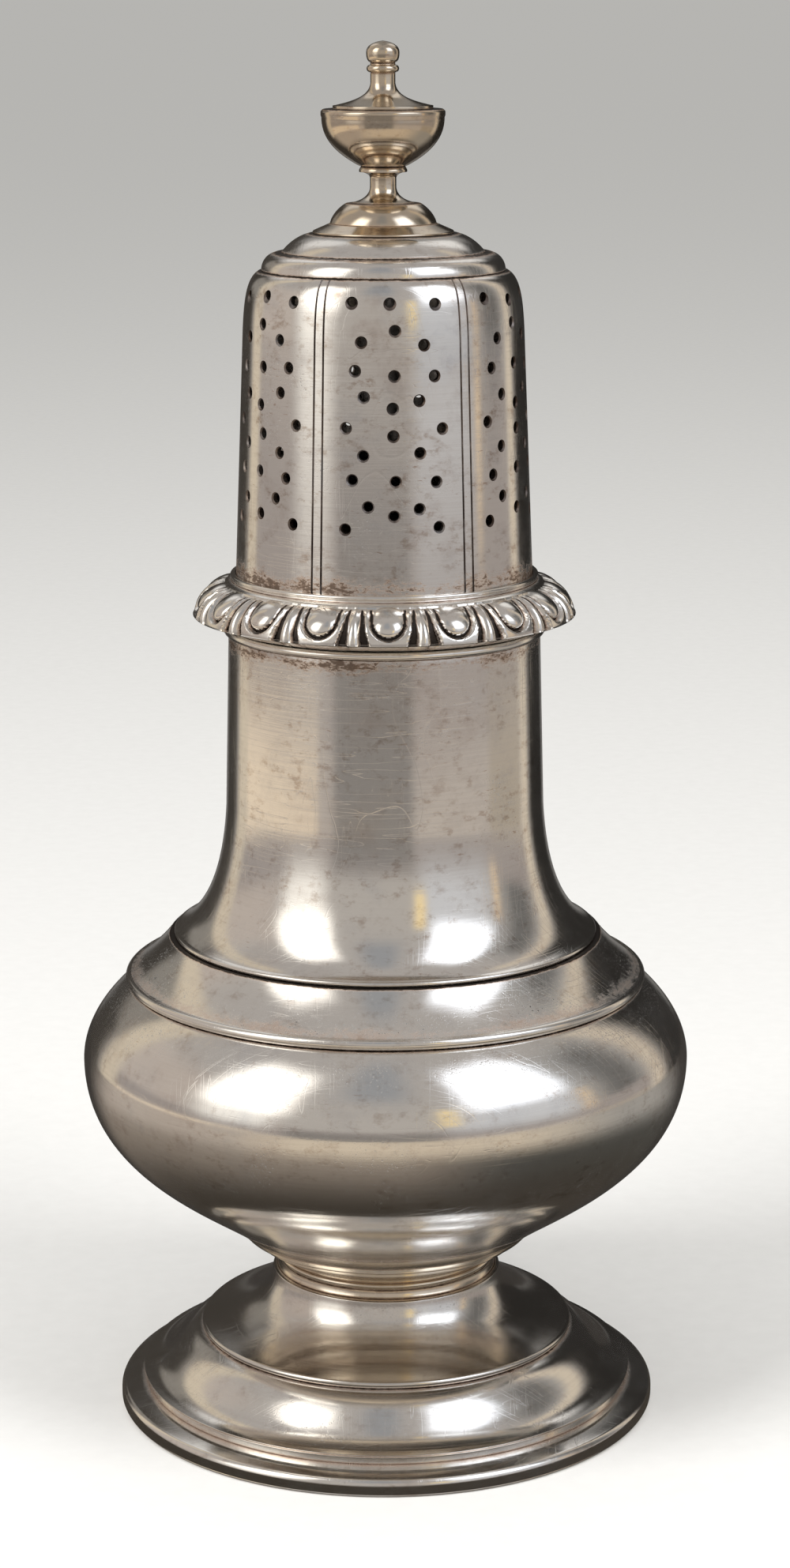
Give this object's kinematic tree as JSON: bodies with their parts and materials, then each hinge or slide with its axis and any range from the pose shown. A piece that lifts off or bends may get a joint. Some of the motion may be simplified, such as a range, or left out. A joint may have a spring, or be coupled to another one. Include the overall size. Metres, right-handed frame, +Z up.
{
  "type": "sugar caster",
  "caption": "Silver pedestal sugar caster with a round body on a spreading foot, and a pierced lift-off cover with an egg-and-dart border and an urn finial.",
  "frame": {"origin": "centre of the ring on which the foot stands, at the table", "axes": "+Z up along the caster's turning axis, -Y towards the front seen in the picture, +X to the right of that view"},
  "size_m": [0.0842, 0.0842, 0.189],
  "materials": {
    "silver_foot": "polished silver, worn, brown in the hollows",
    "silver_body": "polished silver with fine scratches and dark specks",
    "silver_wire": "polished drawn silver wire, dark along its edges",
    "silver_cover": "polished pierced silver sheet with fine upright rub marks",
    "silver_cast": "polished cast silver, dark brown in the grooves",
    "silver_inside": "plain unpolished silver"
  },
  "bodies": {
    "body": {"foot_rim": "silver_foot", "foot_skirt": "silver_foot", "foot_trumpet": "silver_foot", "foot_collar": "silver_foot", "bowl": "silver_body", "girdle_wire": "silver_wire", "shoulder": "silver_body", "neck": "silver_body", "mouth_rim": "silver_wire"},
    "cover": {"cover_sleeve": "silver_inside", "cover_border": "silver_cast", "cover_barrel": "silver_cover", "cover_dome": "silver_cover", "finial_plinth": "silver_cast", "finial_bowl": "silver_cast", "finial_lid": "silver_cast", "finial_stud": "silver_inside", "finial_washer": "silver_inside", "finial_nut": "silver_inside"}
  },
  "joints": [
    {"name": "cover_lift", "type": "slide", "parent": "body", "child": "cover", "axis": [0, 0, 1], "range_m": [0, 0.07]}
  ]
}
